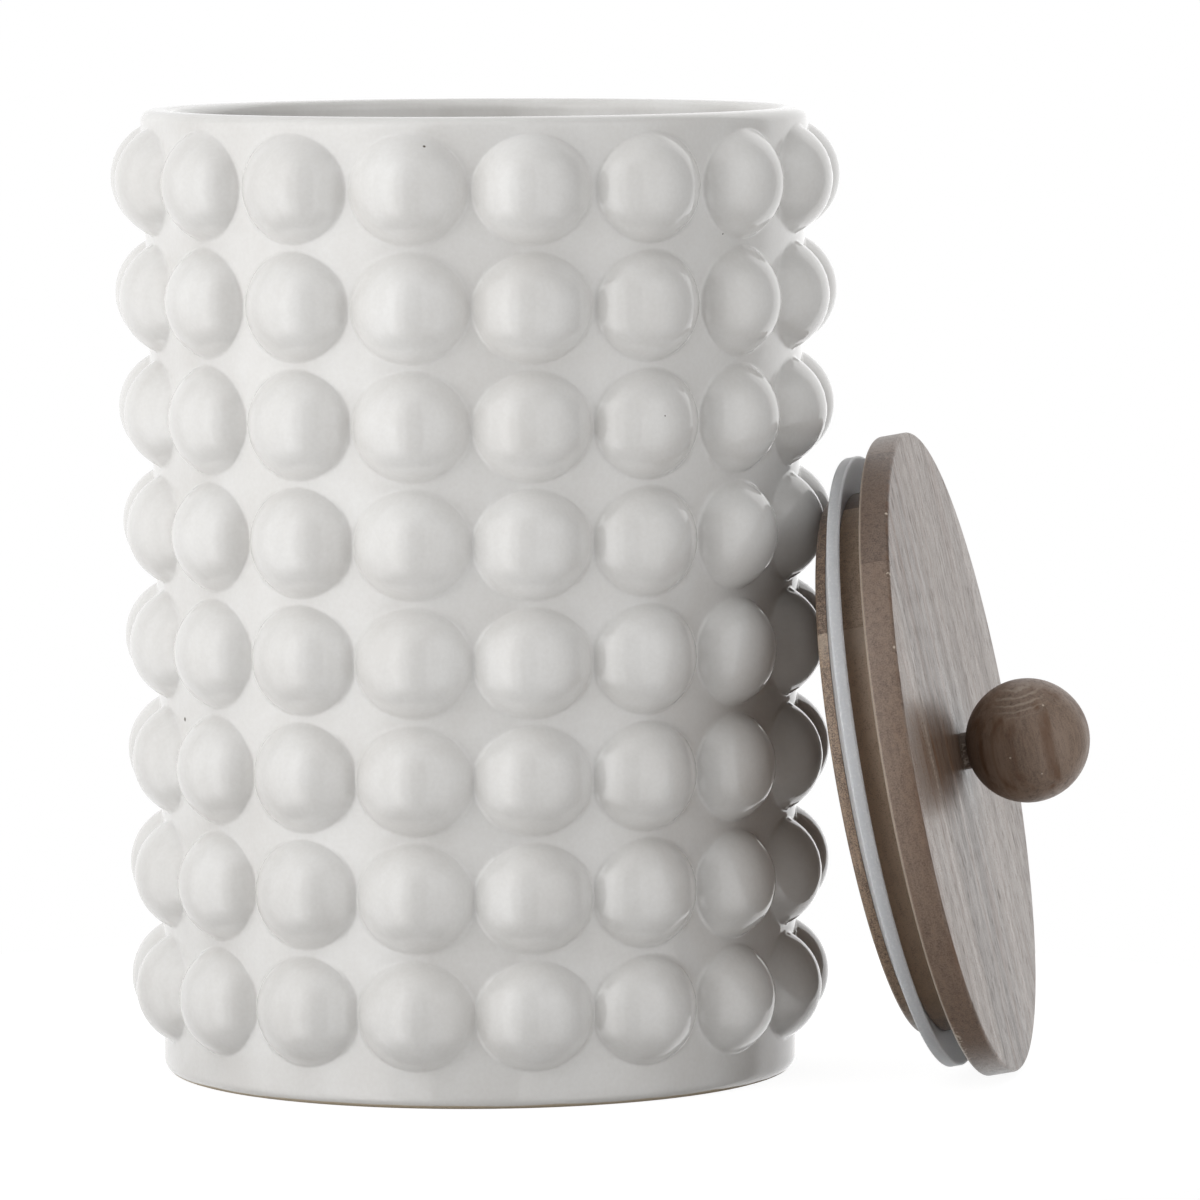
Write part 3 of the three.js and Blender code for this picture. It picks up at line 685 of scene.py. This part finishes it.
# A round white table. The eye sees it white with a share of plain paint that keeps the shadow; reflections
# look through it to the room's light, as they would on a glass table.
studio = {
    "tableRadius": 240.0, "tablePoints": 96, "paint": "#E9E9E9", "whiteShare": 0.75, "white": 1.25,
}
tableMaterial, tableTree = newMaterial("table white painted")
tableSeen, tablePath = seenByEye(tableTree)
whiteShare = addNode(tableTree, "ShaderNodeMath", {0: tableSeen, 1: studio["whiteShare"]}, operation="MULTIPLY")
paint = addNode(tableTree, "ShaderNodeBsdfDiffuse", {"Color": linear(studio["paint"])})
white = addNode(tableTree, "ShaderNodeEmission", {"Strength": studio["white"]})
painted = addNode(tableTree, "ShaderNodeMixShader",
                  {0: whiteShare.outputs[0], 1: paint.outputs[0], 2: white.outputs[0]})
clear = addNode(tableTree, "ShaderNodeBsdfTransparent")
tableMix = addNode(tableTree, "ShaderNodeMixShader",
                   {0: tablePath["Is Glossy Ray"], 1: painted.outputs[0], 2: clear.outputs[0]})
addNode(tableTree, "ShaderNodeOutputMaterial", {"Surface": tableMix.outputs[0]})
tablePoint = np.arange(studio["tablePoints"])
tableAngle = 2 * np.pi * tablePoint / studio["tablePoints"]
tableRing = np.stack([np.cos(tableAngle), np.sin(tableAngle), 0 * tableAngle], -1) * studio["tableRadius"] * mm
tableMesh = bpy.data.meshes.new("table")
tableMesh.from_pydata(tableRing.tolist(), [], [tablePoint.tolist()])
tableMesh.materials.append(tableMaterial)
table = bpy.data.objects.new("table", tableMesh)
bpy.context.scene.collection.objects.link(table)

# World: white to the eye. To the object it is a studio, whose radiance follows the turn in degrees round from
# the viewer's side, right positive: a wide soft box on the left that ends in a dark gap beside the lens, white
# cards on the right and a white backdrop behind. From bandStart to bandEnd degrees up and down, the walls give
# way to a ceiling that dims from left to right and to a dark ground.
room = {
    "turns": ((-180, 1.0), (-150, 0.95), (-112, 0.5), (-88, 1.35), (-60, 1.65), (-52, 2.2), (-38, 2.2),
              (-30, 1.1), (-17.5, 0.95), (-16.5, 0.1), (14.5, 0.05), (15.3, 0.85), (17.2, 0.85), (18, 0.65),
              (36, 0.9), (42, 1.2), (55, 1.2), (70, 0.9), (100, 0.25), (118, 0.2), (125, 1.0), (142, 1.35),
              (174, 1.35), (180, 1.0)),
    "ceiling": (1.4, 0.05), "ceilingReach": 0.8, "ground": 0.08, "bandStart": 38, "bandEnd": 58,
}
world = bpy.data.worlds.new("studio")
bpy.context.scene.world = world
world.use_nodes = True
worldTree = world.node_tree
worldTree.nodes.clear()
ray = addNode(worldTree, "ShaderNodeTexCoord").outputs["Generated"]
rayAxes = addNode(worldTree, "ShaderNodeSeparateXYZ", {0: ray}).outputs
front = addNode(worldTree, "ShaderNodeMath", {0: rayAxes["Y"], 1: -1.0}, operation="MULTIPLY")
rayTurn = addNode(worldTree, "ShaderNodeMath", {0: rayAxes["X"], 1: front.outputs[0]}, operation="ARCTAN2")
turnShare = addNode(worldTree, "ShaderNodeMapRange",
                    {"Value": rayTurn.outputs[0], "From Min": -math.pi, "From Max": math.pi})
walls = addNode(worldTree, "ShaderNodeValToRGB", {0: turnShare.outputs[0]})
stops = walls.color_ramp.elements
for degrees, _ in room["turns"][1:-1]:
    stops.new(degrees / 360 + 0.5)
for stop, (_, radiance) in zip(stops, room["turns"]):
    stop.color = (radiance, radiance, radiance, 1)
bandStart, bandEnd = np.sin(np.radians([room["bandStart"], room["bandEnd"]])).tolist()
above = addNode(worldTree, "ShaderNodeMapRange",
                {"Value": rayAxes["Z"], "From Min": bandStart, "From Max": bandEnd})
below = addNode(worldTree, "ShaderNodeMapRange",
                {"Value": rayAxes["Z"], "From Min": -bandStart, "From Max": -bandEnd})
ceiling = addNode(worldTree, "ShaderNodeMapRange",
                  {"Value": rayAxes["X"], "From Min": -room["ceilingReach"], "From Max": room["ceilingReach"],
                   "To Min": room["ceiling"][0], "To Max": room["ceiling"][1]})
roofed = addNode(worldTree, "ShaderNodeMix",
                 {0: above.outputs[0], 2: walls.outputs["Color"], 3: ceiling.outputs[0]}, data_type="FLOAT")
studioLight = addNode(worldTree, "ShaderNodeMix", {0: below.outputs[0], 2: roofed.outputs[0], 3: room["ground"]},
                      data_type="FLOAT")
worldSeen, _ = seenByEye(worldTree)
radianceHere = addNode(worldTree, "ShaderNodeMix", {0: worldSeen, 2: studioLight.outputs[0], 3: 1.0},
                       data_type="FLOAT")
fill = addNode(worldTree, "ShaderNodeBackground", {"Color": (1, 1, 1, 1), "Strength": radianceHere.outputs[0]})
addNode(worldTree, "ShaderNodeOutputWorld", {"Surface": fill.outputs[0]})

# Camera: a long lens, matched to the photograph's outlines. Pitch and roll are in radians.
view = {
    "lens": 264.88, "sensor": 36.0, "place": (27.57, -1982.58, 274.63),
    "pitch": 0.0850, "roll": -0.0052, "nearest": 50.0, "farthest": 50000.0,
}
forward = Vector((0, math.cos(view["pitch"]), -math.sin(view["pitch"])))
upright = Vector((0, math.sin(view["pitch"]), math.cos(view["pitch"])))
sideLine = Vector((1, 0, 0))
right = math.cos(view["roll"]) * sideLine + math.sin(view["roll"]) * upright
top = -math.sin(view["roll"]) * sideLine + math.cos(view["roll"]) * upright
lens = bpy.data.cameras.new("camera")
lens.lens, lens.sensor_width, lens.sensor_height = view["lens"], view["sensor"], view["sensor"]
lens.clip_start, lens.clip_end = view["nearest"] * mm, view["farthest"] * mm
camera = bpy.data.objects.new("camera", lens)
camera.matrix_world = Matrix([[right.x, top.x, -forward.x, view["place"][0] * mm],
                              [right.y, top.y, -forward.y, view["place"][1] * mm],
                              [right.z, top.z, -forward.z, view["place"][2] * mm], [0, 0, 0, 1]])
bpy.context.scene.collection.objects.link(camera)
bpy.context.scene.camera = camera
bpy.context.scene.view_settings.view_transform = "Standard"
print("studio: table, room of", len(stops), "stops and the camera")
